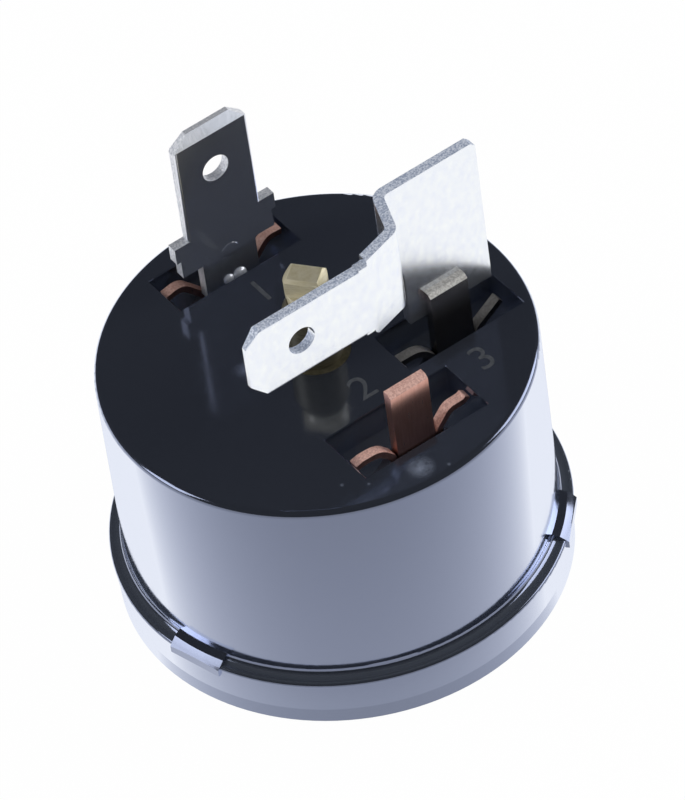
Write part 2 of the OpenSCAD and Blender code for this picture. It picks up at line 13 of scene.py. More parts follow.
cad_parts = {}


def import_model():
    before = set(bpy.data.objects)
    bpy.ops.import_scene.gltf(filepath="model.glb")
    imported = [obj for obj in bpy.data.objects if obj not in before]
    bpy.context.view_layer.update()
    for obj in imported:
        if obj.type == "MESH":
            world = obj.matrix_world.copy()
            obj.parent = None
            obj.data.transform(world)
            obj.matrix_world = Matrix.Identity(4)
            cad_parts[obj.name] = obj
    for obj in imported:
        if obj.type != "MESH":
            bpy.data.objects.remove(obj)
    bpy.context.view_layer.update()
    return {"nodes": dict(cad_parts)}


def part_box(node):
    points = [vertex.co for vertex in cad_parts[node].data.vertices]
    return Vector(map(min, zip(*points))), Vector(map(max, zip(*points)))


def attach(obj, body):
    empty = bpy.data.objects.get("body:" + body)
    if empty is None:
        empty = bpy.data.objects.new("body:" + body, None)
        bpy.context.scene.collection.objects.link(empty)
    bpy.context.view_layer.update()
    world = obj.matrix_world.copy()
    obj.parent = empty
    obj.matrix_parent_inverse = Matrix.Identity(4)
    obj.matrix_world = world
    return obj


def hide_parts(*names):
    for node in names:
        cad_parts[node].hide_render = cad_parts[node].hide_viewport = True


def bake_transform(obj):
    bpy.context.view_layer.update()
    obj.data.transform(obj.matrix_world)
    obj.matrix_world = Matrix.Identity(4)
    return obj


LOG = logging.getLogger("overload_protector")
MM = 0.001
MERGE_DISTANCE = 0.001 * MM
# How much each finer octave of a noise counts
OCTAVE_SHARE = 0.6

Node = bpy.types.Node
Object = bpy.types.Object
Socket = bpy.types.NodeSocket
Stretch = tuple[float, float, float]
Tree = bpy.types.NodeTree


def linear(code: str) -> tuple[float, float, float, float]:
    """Turn an sRGB hex value into a linear colour.

    Args:
        code: The colour as "#rrggbb".

    Returns:
        Linear red, green, blue and a full alpha.
    """
    parts = [int(code[i:i + 2], 16) / 255 for i in (1, 3, 5)]
    red, green, blue = (
        c / 12.92 if c <= 0.04045 else ((c + 0.055) / 1.055) ** 2.4 for c in parts
    )
    return red, green, blue, 1.0


def add_node(tree: Tree, kind: str, inputs: dict[str | int, object], **settings: object) -> Node:
    """Add one shader node with its settings, values and links.

    Args:
        tree: The node tree that gets the node.
        kind: The node's type name.
        inputs: Value, socket or node for each input, by its name or number. A node links its output in use.
        **settings: Properties of the node itself.

    Returns:
        The new node.
    """
    node = tree.nodes.new(kind)
    for name, value in settings.items():
        setattr(node, name, value)
    for name, value in inputs.items():
        if isinstance(value, Node):
            value = next(output for output in value.outputs if output.enabled)
        if isinstance(value, Socket):
            tree.links.new(value, node.inputs[name])
        else:
            node.inputs[name].default_value = value
    return node


@dataclass(frozen=True)
class Fade:
    """Straight change of a level between two values. As written it takes the middle of a noise."""

    low: float = 0.0
    high: float = 1.0
    start: float = 0.3
    end: float = 0.7

    def of(self, value: Node | Socket, unit: float = 1.0) -> dict[str | int, object]:
        """Give the inputs with which a Map Range node makes this change.

        Args:
            value: What the level follows.
            unit: The unit that start and end are in, which is MM for places.

        Returns:
            The inputs, by name.
        """
        return {
            "Value": value,
            "From Min": self.start * unit,
            "From Max": self.end * unit,
            "To Min": self.low,
            "To Max": self.high,
        }

    def times(self, factor: float) -> "Fade":
        """Give the same change with both levels multiplied."""
        return replace(self, low=self.low * factor, high=self.high * factor)


def grain(tree: Tree, grain_mm: float, stretch: Stretch = (1.0, 1.0, 1.0), detail: float = 4) -> Node:
    """Give a noise whose grains have a real size.

    Args:
        tree: The node tree.
        grain_mm: Size of a grain in millimetres.
        stretch: Factor on the pattern's frequency along X, Y and Z.
        detail: Octaves of the noise.

    Returns:
        The noise, from 0 to 1.
    """
    place = add_node(tree, "ShaderNodeTexCoord", {}).outputs["Object"]
    mapped = add_node(tree, "ShaderNodeMapping", {"Vector": place, "Scale": stretch})
    return add_node(
        tree,
        "ShaderNodeTexNoise",
        {"Vector": mapped, "Scale": 1 / (grain_mm * MM), "Detail": detail, "Roughness": OCTAVE_SHARE},
    )


def patchy(tree: Tree, pattern: Node, fade: Fade, first: str, second: str) -> Node:
    """Give a colour that goes from one hex colour to another as a pattern rises.

    Args:
        tree: The node tree.
        pattern: What the colour follows.
        fade: Share of the second colour.
        first: Hex colour at share 0.
        second: Hex colour at share 1.

    Returns:
        The colour.
    """
    share = add_node(tree, "ShaderNodeMapRange", fade.of(pattern))
    return add_node(tree, "ShaderNodeMix", {0: share, 6: linear(first), 7: linear(second)}, data_type="RGBA")


def start_material(name: str) -> tuple[bpy.types.Material, Tree]:
    """Make a material with an empty tree.

    Args:
        name: The material's name.

    Returns:
        The material and its node tree.
    """
    material = bpy.data.materials.new(name)
    material.use_nodes = True
    material.node_tree.nodes.clear()
    return material, material.node_tree


@dataclass(frozen=True)
class PaintedHighlight:
    """Painted highlight, a pale spot on the top face: its place and radius in millimetres, and how pale it
    is.
    """

    x: float
    y: float
    radius: float
    paleness: float


@dataclass(frozen=True)
class MouldedPhenolic:
    """Phenolic resin, moulded in a polished tool: near black under a hard skin that mirrors its room."""

    top: float
    name: str = "moulded_black_phenolic"
    colour: str = "#282b31"
    # Lighter resin painted in the pockets, the chamber and on the ledge: a painted fill light against their
    # shade
    painted_fill: str = "#454a52"
    # Painted highlights: pale spots on the top face, with their colour, places, core and patchiness
    painted_highlight: str = "#8f98ab"
    body_roughness: float = 0.5
    painted_highlights: tuple[PaintedHighlight, ...] = (
        PaintedHighlight(-1.25, -14.1, 1.15, 0.8),
        PaintedHighlight(-6.37, -11.78, 0.2, 0.45),
        PaintedHighlight(-4.9, -12.96, 0.16, 0.5),
        PaintedHighlight(0.41, -15.17, 0.2, 0.5),
    )
    highlight_core: float = 0.15
    highlight_grain: float = 0.5
    highlight_patches: Fade = Fade(0.35, 1.0)
    inside: Fade = Fade(1, 0, 14.4, 14.6)
    below_top: Fade = Fade(1, 0, 20.2, 20.6)
    ledge_level: Fade = Fade(1, 0, 4.25, 4.4)
    ledge_reach: Fade = Fade(1, 0, 16.7, 16.85)
    skin_tint: str = "#cdd8fa"
    skin_grazing: str = "#e6ebf8"
    skin_grazing_share: Fade = Fade(0, 1, 0.3, 1)
    skin_ior: float = 1.5
    skin_gain: float = 5.25
    skin_gain_low: float = 6.2
    wall_foot: float = 5.0
    flange_gain: Fade = Fade(0.8, 1.0, 4.2, 4.5)
    skin_roughness: float = 0.1
    mottling: Fade = Fade(0.7, 1.4)
    mottle_grain: float = 1.2
    peel_grain: float = 0.35
    peel_depth: float = 0.02
    peel_strength: float = 0.06

    def make(self) -> bpy.types.Material:
        """Make the material.

        Returns:
            The material.
        """
        material, tree = start_material(self.name)
        # The skin's orange peel, which breaks up its reflections a little
        peel = add_node(
            tree,
            "ShaderNodeBump",
            {
                "Strength": self.peel_strength,
                "Distance": self.peel_depth * MM,
                "Height": grain(tree, self.peel_grain, detail=3),
            },
        )
        resin = add_node(
            tree,
            "ShaderNodeBsdfPrincipled",
            {
                "Base Color": self.resin_colour(tree),
                "Roughness": self.body_roughness,
                "Specular IOR Level": 0.0,
                "Normal": peel,
            },
        )
        share = self.skin_share(tree)
        # Faint mottling of the skin, coarser than the real flow marks so that it shows
        mottle = grain(tree, self.mottle_grain)
        roughness = add_node(tree, "ShaderNodeMapRange", self.mottling.times(self.skin_roughness).of(mottle))
        tint = patchy(tree, share, self.skin_grazing_share, self.skin_tint, self.skin_grazing)
        skin = add_node(
            tree, "ShaderNodeBsdfGlossy", {"Color": tint, "Roughness": roughness, "Normal": peel}
        )
        surface = add_node(tree, "ShaderNodeMixShader", {0: share, 1: resin, 2: skin})
        add_node(tree, "ShaderNodeOutputMaterial", {0: surface})
        return material

    def skin_share(self, tree: Tree) -> Node:
        """Give how strongly the skin mirrors: by the angle, more low on the wall, less on the flange.

        Args:
            tree: The node tree.

        Returns:
            The share, from 0 to 1.
        """
        fresnel = add_node(tree, "ShaderNodeFresnel", {"IOR": self.skin_ior})
        place = add_node(tree, "ShaderNodeTexCoord", {}).outputs["Object"]
        level = add_node(tree, "ShaderNodeSeparateXYZ", {0: place}).outputs["Z"]
        wall_gain = Fade(self.skin_gain_low, self.skin_gain, self.wall_foot, self.top / MM)
        wall = add_node(tree, "ShaderNodeMapRange", wall_gain.of(level, MM))
        flange = add_node(tree, "ShaderNodeMapRange", self.flange_gain.of(level, MM))
        gain = add_node(tree, "ShaderNodeMath", {0: wall, 1: flange}, operation="MULTIPLY")
        return add_node(tree, "ShaderNodeMath", {0: fresnel, 1: gain}, operation="MULTIPLY", use_clamp=True)

    def resin_colour(self, tree: Tree) -> Node:
        """Give the resin's colour: lighter as a painted fill light in the pockets, the chamber and on the
        ledge, and pale with painted highlights on the top face.

        Args:
            tree: The node tree.

        Returns:
            The colour.
        """
        filled = {6: linear(self.colour), 7: linear(self.painted_fill), 0: self.painted_fill_share(tree)}
        plain = add_node(tree, "ShaderNodeMix", filled, data_type="RGBA")
        pale = {6: plain, 7: linear(self.painted_highlight), 0: self.painted_highlight_share(tree)}
        return add_node(tree, "ShaderNodeMix", pale, data_type="RGBA")

    def painted_highlight_share(self, tree: Tree) -> Node:
        """Give how far the top face is painted pale with highlights.

        Args:
            tree: The node tree.

        Returns:
            The share, from 0 to 1.
        """
        place = add_node(tree, "ShaderNodeTexCoord", {}).outputs["Object"]
        patches = add_node(tree, "ShaderNodeMapRange", self.highlight_patches.of(grain(tree, self.highlight_grain)))
        painted_highlight: Node | float = 0.0
        for highlight in self.painted_highlights:
            middle = (highlight.x * MM, highlight.y * MM, self.top)
            away = add_node(tree, "ShaderNodeVectorMath", {0: place, 1: middle}, operation="DISTANCE")
            spread = Fade(highlight.paleness, 0, self.highlight_core * highlight.radius, highlight.radius)
            spot = add_node(tree, "ShaderNodeMapRange", spread.of(away, MM))
            painted_highlight = add_node(
                tree, "ShaderNodeMath", {0: spot, 1: patches, 2: painted_highlight}, operation="MULTIPLY_ADD"
            )
        return painted_highlight

    def painted_fill_share(self, tree: Tree) -> Node:
        """Give where the resin is painted lighter as fill light: in the pockets and the chamber, and on the
        ledge.

        Args:
            tree: The node tree.

        Returns:
            The share, from 0 to 1.
        """
        place = add_node(tree, "ShaderNodeTexCoord", {}).outputs["Object"]
        level = add_node(tree, "ShaderNodeSeparateXYZ", {0: place}).outputs["Z"]
        across = add_node(tree, "ShaderNodeVectorMath", {0: place, 1: (1, 1, 0)}, operation="MULTIPLY")
        radius = add_node(tree, "ShaderNodeVectorMath", {0: across}, operation="LENGTH")
        areas = []
        for reach, height in ((self.inside, self.below_top), (self.ledge_reach, self.ledge_level)):
            within = add_node(tree, "ShaderNodeMapRange", reach.of(radius, MM))
            under = add_node(tree, "ShaderNodeMapRange", height.of(level, MM))
            areas.append(add_node(tree, "ShaderNodeMath", {0: within, 1: under}, operation="MULTIPLY"))
        pockets, ledge = areas
        return add_node(tree, "ShaderNodeMath", {0: pockets, 1: ledge}, operation="MAXIMUM")


class ShearedSide(Enum):
    """Which way the sheared edges of a strip face: the normal's axis, and how it tells an edge."""

    UP_AND_DOWN = ("Z", Fade(0, 1, 0.2, 0.36))
    ALL_BUT_FACES = ("Y", Fade(1, 0, 0.2, 0.4))


@dataclass(frozen=True)
class SheetMetal:
    """Stamped strip: rolled faces with a fine grain, and sheared edges that are torn, rough and matt."""

    name: str
    face: str
    face_worn: str
    edge: str
    edge_torn: str
    roughness: float
    edge_roughness: float
    sheared: ShearedSide = ShearedSide.UP_AND_DOWN
    metallic: float = 0.95
    edge_metallic: float = 0.5
    rolled: Stretch = (1.0, 1.0, 0.12)
    rolling_grain: float = 0.18
    torn_grain: float = 0.15
    torn_patches: Fade = Fade(0, 1, 0.4, 0.6)
    face_unevenness: Fade = Fade(0.9, 1.15)
    edge_unevenness: Fade = Fade(0.8, 1.2)
    face_relief: float = 0.012
    relief_depth: float = 0.05
    relief_strength: float = 0.5
    bow: float = 0.0
    roll_over: float = 0.0
    roll_start: float = 22.4
    # Painted shade that darkens the strip down in its pocket: its strength, its colour and the heights where
    # it starts and ends
    pocket_shade: float = 0.0
    pocket_shade_colour: str = "#2c2a2c"
    pocket_shade_foot: float = 21.6
    pocket_shade_end: float = 23.6

    def make(self) -> bpy.types.Material:
        """Make the material.

        Returns:
            The material.
        """
        material, tree = start_material(self.name)
        place = add_node(tree, "ShaderNodeTexCoord", {}).outputs["Object"]
        level = add_node(tree, "ShaderNodeSeparateXYZ", {0: place}).outputs["Z"]
        # Rolling and tearing leave finer grains, which are drawn this coarse so that they show
        rolling = grain(tree, self.rolling_grain, self.rolled)
        torn = grain(tree, self.torn_grain)
        edge = self.edge_share(tree)
        smooth = add_node(
            tree, "ShaderNodeMapRange", self.face_unevenness.times(self.roughness).of(rolling)
        )
        rough = add_node(
            tree, "ShaderNodeMapRange", self.edge_unevenness.times(self.edge_roughness).of(torn)
        )
        # A torn edge scatters light, as a matt surface does
        metallic = Fade(self.metallic, self.edge_metallic, 0, 1)
        metal = add_node(
            tree,
            "ShaderNodeBsdfPrincipled",
            {
                "Base Color": self.colour(tree, level, rolling, torn, edge),
                "Metallic": add_node(tree, "ShaderNodeMapRange", metallic.of(edge)),
                "Roughness": add_node(tree, "ShaderNodeMix", {0: edge, 2: smooth, 3: rough}),
                "Normal": self.relief(tree, level, rolling, torn, edge),
            },
        )
        add_node(tree, "ShaderNodeOutputMaterial", {0: metal})
        return material

    def edge_share(self, tree: Tree) -> Node:
        """Give 1 on the sheared edges and 0 on the rolled faces.

        Args:
            tree: The node tree.

        Returns:
            The share.
        """
        axis, fade = self.sheared.value
        geometry = add_node(tree, "ShaderNodeNewGeometry", {})
        normal = add_node(tree, "ShaderNodeSeparateXYZ", {0: geometry.outputs["True Normal"]})
        size = add_node(tree, "ShaderNodeMath", {0: normal.outputs[axis]}, operation="ABSOLUTE")
        return add_node(tree, "ShaderNodeMapRange", fade.of(size))

    def colour(self, tree: Tree, level: Socket, rolling: Node, torn: Node, edge: Node) -> Node:
        """Give the colour of faces and edges, with the painted shade that deepens down into the pocket.

        Args:
            tree: The node tree.
            level: Height on the object.
            rolling: Grain of the faces.
            torn: Grain of the edges.
            edge: 1 on the edges.

        Returns:
            The colour.
        """
        face = patchy(tree, rolling, Fade(), self.face, self.face_worn)
        sheared = patchy(tree, torn, self.torn_patches, self.edge, self.edge_torn)
        unshaded = add_node(tree, "ShaderNodeMix", {0: edge, 6: face, 7: sheared}, data_type="RGBA")
        # Painted shade, deepening down into the pocket
        pocket_shade = Fade(self.pocket_shade, 0, self.pocket_shade_foot, self.pocket_shade_end)
        share = add_node(tree, "ShaderNodeMapRange", pocket_shade.of(level, MM))
        dark = linear(self.pocket_shade_colour)
        return add_node(tree, "ShaderNodeMix", {0: share, 6: unshaded, 7: dark}, data_type="RGBA")

    def relief(self, tree: Tree, level: Socket, rolling: Node, torn: Node, edge: Node) -> Node:
        """Give the relief: grain, the face's slight bow, and where it rolls over to its upper edge.

        Args:
            tree: The node tree.
            level: Height on the object.
            rolling: Grain of the faces.
            torn: Grain of the edges.
            edge: 1 on the edges.

        Returns:
            The bent normal.
        """
        tearing = add_node(tree, "ShaderNodeMath", {0: torn, 1: edge}, operation="MULTIPLY")
        grains = add_node(
            tree, "ShaderNodeMath", {0: rolling, 1: self.face_relief, 2: tearing}, operation="MULTIPLY_ADD"
        )
        grained = add_node(
            tree,
            "ShaderNodeBump",
            {"Strength": self.relief_strength, "Distance": self.relief_depth * MM, "Height": grains},
        )
        start = self.roll_start * MM
        above = add_node(tree, "ShaderNodeMath", {0: level, 1: start}, operation="SUBTRACT")
        risen = add_node(tree, "ShaderNodeMath", {0: above, 1: 0.0}, operation="MAXIMUM")
        square = add_node(tree, "ShaderNodeMath", {0: risen, 1: 2.0}, operation="POWER")
        rolled = add_node(
            tree, "ShaderNodeMath", {0: square, 1: -self.roll_over / MM}, operation="MULTIPLY"
        )
        lean = add_node(
            tree, "ShaderNodeMath", {0: level, 1: -self.bow, 2: rolled}, operation="MULTIPLY_ADD"
        )
        # A lean is in metres, so the bump takes it at its full height
        return add_node(
            tree, "ShaderNodeBump", {"Strength": 1.0, "Distance": 1.0, "Height": lean, "Normal": grained}
        )


@dataclass(frozen=True)
class TurnedMetal:
    """Turned, drawn or rolled metal with a fine tool grain."""

    name: str
    colour: str
    dark: str
    roughness: float
    turned: Stretch = (0.3, 0.3, 3.0)
    metallic: float = 0.95
    tool_grain: float = 0.2
    unevenness: Fade = Fade(0.8, 1.25)
    relief_depth: float = 0.02
    relief_strength: float = 0.25

    def make(self) -> bpy.types.Material:
        """Make the material.

        Returns:
            The material.
        """
        material, tree = start_material(self.name)
        # Tool marks are finer than this, and are drawn so coarse that they show
        tool = grain(tree, self.tool_grain, self.turned)
        marks = {"Strength": self.relief_strength, "Distance": self.relief_depth * MM, "Height": tool}
        roughness = self.unevenness.times(self.roughness)
        metal = add_node(
            tree,
            "ShaderNodeBsdfPrincipled",
            {
                "Base Color": patchy(tree, tool, Fade(), self.colour, self.dark),
                "Metallic": self.metallic,
                "Roughness": add_node(tree, "ShaderNodeMapRange", roughness.of(tool)),
                "Normal": add_node(tree, "ShaderNodeBump", marks),
            },
        )
        add_node(tree, "ShaderNodeOutputMaterial", {0: metal})
        return material


@dataclass(frozen=True)
class PrintedGrey:
    """Grey marking ink on the phenolic: matt, and uneven where it is thin."""

    name: str = "grey_marking"
    colour: str = "#50545a"
    thin: str = "#3c3f45"
    roughness: Fade = Fade(0.6, 0.8)
    gloss: float = 0.3
    patch_grain: float = 0.25

    def make(self) -> bpy.types.Material:
        """Make the material.

        Returns:
            The material.
        """
        material, tree = start_material(self.name)
        patches = grain(tree, self.patch_grain, detail=3)
        ink = add_node(
            tree,
            "ShaderNodeBsdfPrincipled",
            {
                "Base Color": patchy(tree, patches, Fade(), self.colour, self.thin),
                "Roughness": add_node(tree, "ShaderNodeMapRange", self.roughness.of(patches)),
                "Specular IOR Level": self.gloss,
            },
        )
        add_node(tree, "ShaderNodeOutputMaterial", {0: ink})
        return material


Finish = MouldedPhenolic | SheetMetal | TurnedMetal | PrintedGrey

# Bright tin on brass: the flag's faces look satin white, its torn edges grey and speckled
TIN = SheetMetal(
    name="tin_plated_brass",
    face="#fafdff",
    face_worn="#f2f6ff",
    edge="#eaf1ff",
    edge_torn="#a3afc7",
    roughness=0.19,
    edge_roughness=0.6,
    edge_metallic=0.3,
    rolled=(0.3, 0.3, 0.2),
    bow=0.078,
)
# The same tin on the upright tab, which shows the dark room, with brighter edges on all sides; a shaded
# copy, its faces painted a little darker than the flag's
TIN_UPRIGHT = SheetMetal(
    name="tin_plated_brass_upright",
    face="#eceef4",
    face_worn="#dfe2ea",
    edge="#f0f2f8",
    edge_torn="#c4c8d2",
    roughness=0.2,
    edge_roughness=0.35,
    sheared=ShearedSide.ALL_BUT_FACES,
)
# Bare copper: pink faces that turn paler where they roll over to the sheared top
COPPER = SheetMetal(
    name="bare_copper_strip",
    face="#e8b6a8",
    face_worn="#d8a292",
    edge="#f6cabc",
    edge_torn="#d3a397",
    roughness=0.3,
    edge_roughness=0.4,
    edge_metallic=0.1,
    roll_over=0.07,
)
# The same copper, painted dark brown down in its pocket as shade
COPPER_SHADED = replace(COPPER, name="shaded_copper_strip", pocket_shade=0.55, pocket_shade_colour="#3c2622")
# Tin worn thin over copper: warm grey, painted nearly black down in the pocket as shade
TINNED_COPPER = SheetMetal(
    name="tinned_copper_strip",
    face="#c4c3c4",
    face_worn="#a4a09e",
    edge="#dddcd8",
    edge_torn="#b3b0ac",
    roughness=0.2,
    edge_roughness=0.4,
    edge_metallic=0.1,
    roll_over=0.02,
    pocket_shade=0.75,
)
# Turned brass: pale yellow with a soft shine
BRASS = TurnedMetal("turned_brass", "#efe7cc", "#d8cda6", 0.38, metallic=0.55)
# The insert's brass, painted dark as the shade that falls on it under terminal 3
BRASS_SHADED = TurnedMetal("shaded_brass", "#857f69", "#5e5948", 0.45, metallic=0.8)
# Silver alloy of the contacts: white and plain
SILVER = TurnedMetal("silver_alloy", "#dcdad6", "#c2c0bc", 0.3)
# Drawn spring steel: mid grey and clean
SPRING_STEEL = TurnedMetal("drawn_spring_steel", "#a9aaad", "#7d7e82", 0.32)
# Resistance alloy with the brown grey oxide that its own heat gives it
RESISTANCE_ALLOY = TurnedMetal("oxidised_resistance_alloy", "#7d756e", "#544e49", 0.45)
# Rolled bimetal: warm grey, with its grain along one way
BIMETAL = TurnedMetal("rolled_bimetal", "#b9b1a2", "#958c7c", 0.34, (0.15, 2.0, 1.0))
# Weld beads painted nearly white: painted highlights on the weld
WELD_GLINT = TurnedMetal("white_weld_glint", "#f6f8ff", "#cdd3e0", 0.3, metallic=0.45)

METAL_NODES: dict[str, Finish] = {
    "bracket_1": COPPER_SHADED,
    "bracket_2": COPPER,
    "bracket_3": TINNED_COPPER,
    "terminal_1": TIN_UPRIGHT,
    "terminal_3": TIN,
    "fixed_contact_1": SILVER,
    "fixed_contact_2": SILVER,
    "moving_contact_1": SILVER,
    "moving_contact_2": SILVER,
    "bimetal_disc": BIMETAL,
    "calibration_stud": BRASS,
    "stud_insert": BRASS_SHADED,
    "disc_spring": SPRING_STEEL,
    "disc_washer": SPRING_STEEL,
    "heater_ribbon": RESISTANCE_ALLOY,
}


@cache
def material_of(finish: Finish) -> bpy.types.Material:
    """Make a finish's material once and give it again after that."""
    return finish.make()


def dress(piece: Object, finish: Finish) -> None:
    """Give a shown object one finish in all its slots.

    Args:
        piece: The CAD node or piece.
        finish: Its finish.
    """
    material = material_of(finish)
    if not piece.material_slots:
        piece.data.materials.append(material)
    for slot in piece.material_slots:
        slot.material = material


def select_only(piece: Object) -> None:
    """Select one object and make it the active one.

    Args:
        piece: The object.
    """
    bpy.ops.object.select_all(action="DESELECT")
    piece.select_set(True)
    bpy.context.view_layer.objects.active = piece


def settle(piece: Object, name: str, smooth_below: float) -> None:
    """Apply a piece's place to its mesh, shade it smooth by angle and name it.

    Args:
        piece: The new piece.
        name: Its name.
        smooth_below: Edges sharper than this many degrees stay sharp.
    """
    select_only(piece)
    bpy.ops.object.transform_apply(location=True, rotation=True, scale=True)
    bpy.ops.object.shade_smooth_by_angle(angle=math.radians(smooth_below))
    piece.name = name
    piece.data.name = name


def towards(azimuth: float, elevation: float) -> Vector:
    """Give the direction at an azimuth from +X and an elevation, in degrees.

    Args:
        azimuth: Degrees round from +X to +Y.
        elevation: Degrees above the floor.

    Returns:
        The direction, one unit long.
    """
    around, up = math.radians(azimuth), math.radians(elevation)
    return Vector((math.cos(up) * math.cos(around), math.cos(up) * math.sin(around), math.sin(up)))


@dataclass(frozen=True)
class SoftLamp:
    """Large soft lamp: its direction in degrees, and its width and height in metres."""

    name: str
    azimuth: float
    elevation: float
    width: float
    height: float

    def build(self, distance: float, radiance: float, aim: Vector) -> None:
        """Place the lamp so that it points at the object.

        Args:
            distance: Distance from the origin in metres.
            radiance: Brightness of its face.
            aim: The point that it faces.
        """
        data = bpy.data.lights.new(self.name, "AREA")
        data.shape = "RECTANGLE"
        data.size = self.width
        data.size_y = self.height
        data.energy = radiance * math.pi * self.width * self.height
        lamp = bpy.data.objects.new(self.name, data)
        bpy.context.scene.collection.objects.link(lamp)
        lamp.location = towards(self.azimuth, self.elevation) * distance
        lamp.rotation_euler = (aim - lamp.location).to_track_quat("-Z", "Y").to_euler()


@dataclass
class Studio:
    """Pale floor, a soft lamp at each side, a white room and the camera of the photograph."""

    camera_place: tuple[float, float, float] = (-184.733, -321.294, 398.581)
    camera_azimuth: float = 239.9
    camera_elevation: float = 45.96
    camera_roll: float = -8.55
    lens: float = 337.23
    sensor: float = 36
    nearest: float = 0.01
    furthest: float = 10
    floor_side: float = 3
    floor_gap: float = 0.03
    floor_whiteness: float = 0.985
    card: str = "#f4f4f6"
    room_fill: float = 0.55
    room_gloss: float = 0.042
    room_gloss_tint: tuple[float, float, float] = (0.95, 1, 1.15)
    lamp_distance: float = 0.9
    lamp_radiance: float = 3.5
    lamp_aim: float = 20
    lamps: tuple[SoftLamp, ...] = (
        SoftLamp("left", 158, 28, 0.36, 0.52),
        SoftLamp("right", -17, 25, 0.62, 0.48),
    )

    def build(self) -> None:
        """Make the camera, the floor, the lamps and the room."""
        bpy.context.scene.view_settings.view_transform = "Standard"
        self.add_camera()
        self.add_floor()
        for lamp in self.lamps:
            lamp.build(self.lamp_distance, self.lamp_radiance, Vector((0, 0, self.lamp_aim * MM)))
            LOG.info("lamp: %s", lamp.name)
        self.add_room()

    def add_camera(self) -> None:
        """Place the camera, with the angles that the photograph's outlines give."""
        data = bpy.data.cameras.new("camera")
        data.lens = self.lens
        data.sensor_width = self.sensor
        data.clip_start = self.nearest
        data.clip_end = self.furthest
        camera = bpy.data.objects.new("camera", data)
        bpy.context.scene.collection.objects.link(camera)
        back = towards(self.camera_azimuth, self.camera_elevation)
        level = Vector((0, 0, 1)).cross(back).normalized()
        roll = math.radians(self.camera_roll)
        right = level * math.cos(roll) + back.cross(level) * math.sin(roll)
        turn = Matrix((right, back.cross(right), back)).transposed().to_4x4()
        camera.matrix_world = Matrix.Translation(Vector(self.camera_place) * MM) @ turn
        bpy.context.scene.camera = camera

    def add_floor(self) -> None:
        """Make the pale floor: white to the camera and to gloss, shadowed, and open from below."""
        bpy.ops.mesh.primitive_plane_add(size=self.floor_side, location=(0, 0, -self.floor_gap * MM))
        floor = bpy.context.object
        floor.name = "floor"
        material, tree = start_material("white_card")
        rays = add_node(tree, "ShaderNodeLightPath", {}).outputs
        seen = add_node(
            tree, "ShaderNodeMath", {0: rays["Is Camera Ray"], 1: rays["Is Glossy Ray"]}, operation="MAXIMUM"
        )
        share = add_node(tree, "ShaderNodeMath", {0: seen, 1: self.floor_whiteness}, operation="MULTIPLY")
        matt = add_node(tree, "ShaderNodeBsdfDiffuse", {"Color": linear(self.card)})
        white = add_node(tree, "ShaderNodeEmission", {"Color": linear("#ffffff"), "Strength": 1.0})
        card = add_node(tree, "ShaderNodeMixShader", {0: share, 1: matt, 2: white})
        behind = add_node(tree, "ShaderNodeNewGeometry", {}).outputs["Backfacing"]
        clear = add_node(tree, "ShaderNodeBsdfTransparent", {})
        sided = add_node(tree, "ShaderNodeMixShader", {0: behind, 1: card, 2: clear})
        add_node(tree, "ShaderNodeOutputMaterial", {0: sided})
        floor.data.materials.append(material)

    def add_room(self) -> None:
        """Make the room white to the camera, soft grey as ambient light, and dark in reflections."""
        world = bpy.data.worlds.new("room")
        bpy.context.scene.world = world
        world.use_nodes = True
        tree = world.node_tree
        tree.nodes.clear()
        rays = add_node(tree, "ShaderNodeLightPath", {}).outputs
        white = linear("#ffffff")
        fill = (self.room_fill, self.room_fill, self.room_fill, 1)
        gloss = (*(self.room_gloss * part for part in self.room_gloss_tint), 1)
        unseen = add_node(
            tree, "ShaderNodeMix", {0: rays["Is Glossy Ray"], 6: fill, 7: gloss}, data_type="RGBA"
        )
        colour = add_node(
            tree, "ShaderNodeMix", {0: rays["Is Camera Ray"], 6: unseen, 7: white}, data_type="RGBA"
        )
        light = add_node(tree, "ShaderNodeBackground", {"Color": colour, "Strength": 1.0})
        add_node(tree, "ShaderNodeOutputWorld", {0: light})
        world.cycles.sampling_method = "NONE"


@dataclass(frozen=True)
class TumbledPart:
    """CAD node that shows as a copy with broken edges, as tumbling leaves them. Sizes in millimetres."""

    source: str
    name: str
    slot: str
    edge_break: float
    facets: int
    flat_below: float = 0.5
    sharp_above: float = 32
    smooth_below: float = 35
    face_weight: int = 100

    def build(self, nodes: dict[str, Object]) -> None:
        """Weld a copy of the CAD node, break its sharp edges and dress it.

        Args:
            nodes: The CAD nodes by name. The copy replaces the one that it is made from.
        """
        piece = bpy.data.objects.new(self.name, nodes[self.source].data.copy())
        bpy.context.scene.collection.objects.link(piece)
        select_only(piece)
        bpy.ops.object.mode_set(mode="EDIT")
        bpy.ops.mesh.select_all(action="SELECT")
        bpy.ops.mesh.customdata_custom_splitnormals_clear()
        bpy.ops.mesh.remove_doubles(threshold=MERGE_DISTANCE)
        bpy.ops.mesh.dissolve_limited(angle_limit=math.radians(self.flat_below))
        bpy.ops.object.mode_set(mode="OBJECT")
        bevel = piece.modifiers.new("broken_edges", "BEVEL")
        bevel.width = self.edge_break * MM
        bevel.segments = self.facets
        bevel.limit_method = "ANGLE"
        bevel.angle_limit = math.radians(self.sharp_above)
        bevel.use_clamp_overlap = True
        bpy.ops.object.modifier_apply(modifier=bevel.name)
        settle(piece, self.name, self.smooth_below)
        # Wide flat faces keep one normal all over, so no dent shows at their broken edges
        weighted = piece.modifiers.new("even_faces", "WEIGHTED_NORMAL")
        weighted.keep_sharp = True
        weighted.weight = self.face_weight
        bpy.ops.object.modifier_apply(modifier=weighted.name)
        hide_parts(self.source)
        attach(piece, "base")
        dress(piece, METAL_NODES[self.source])
        LOG.info("%s: %d faces", self.name, len(piece.data.polygons))


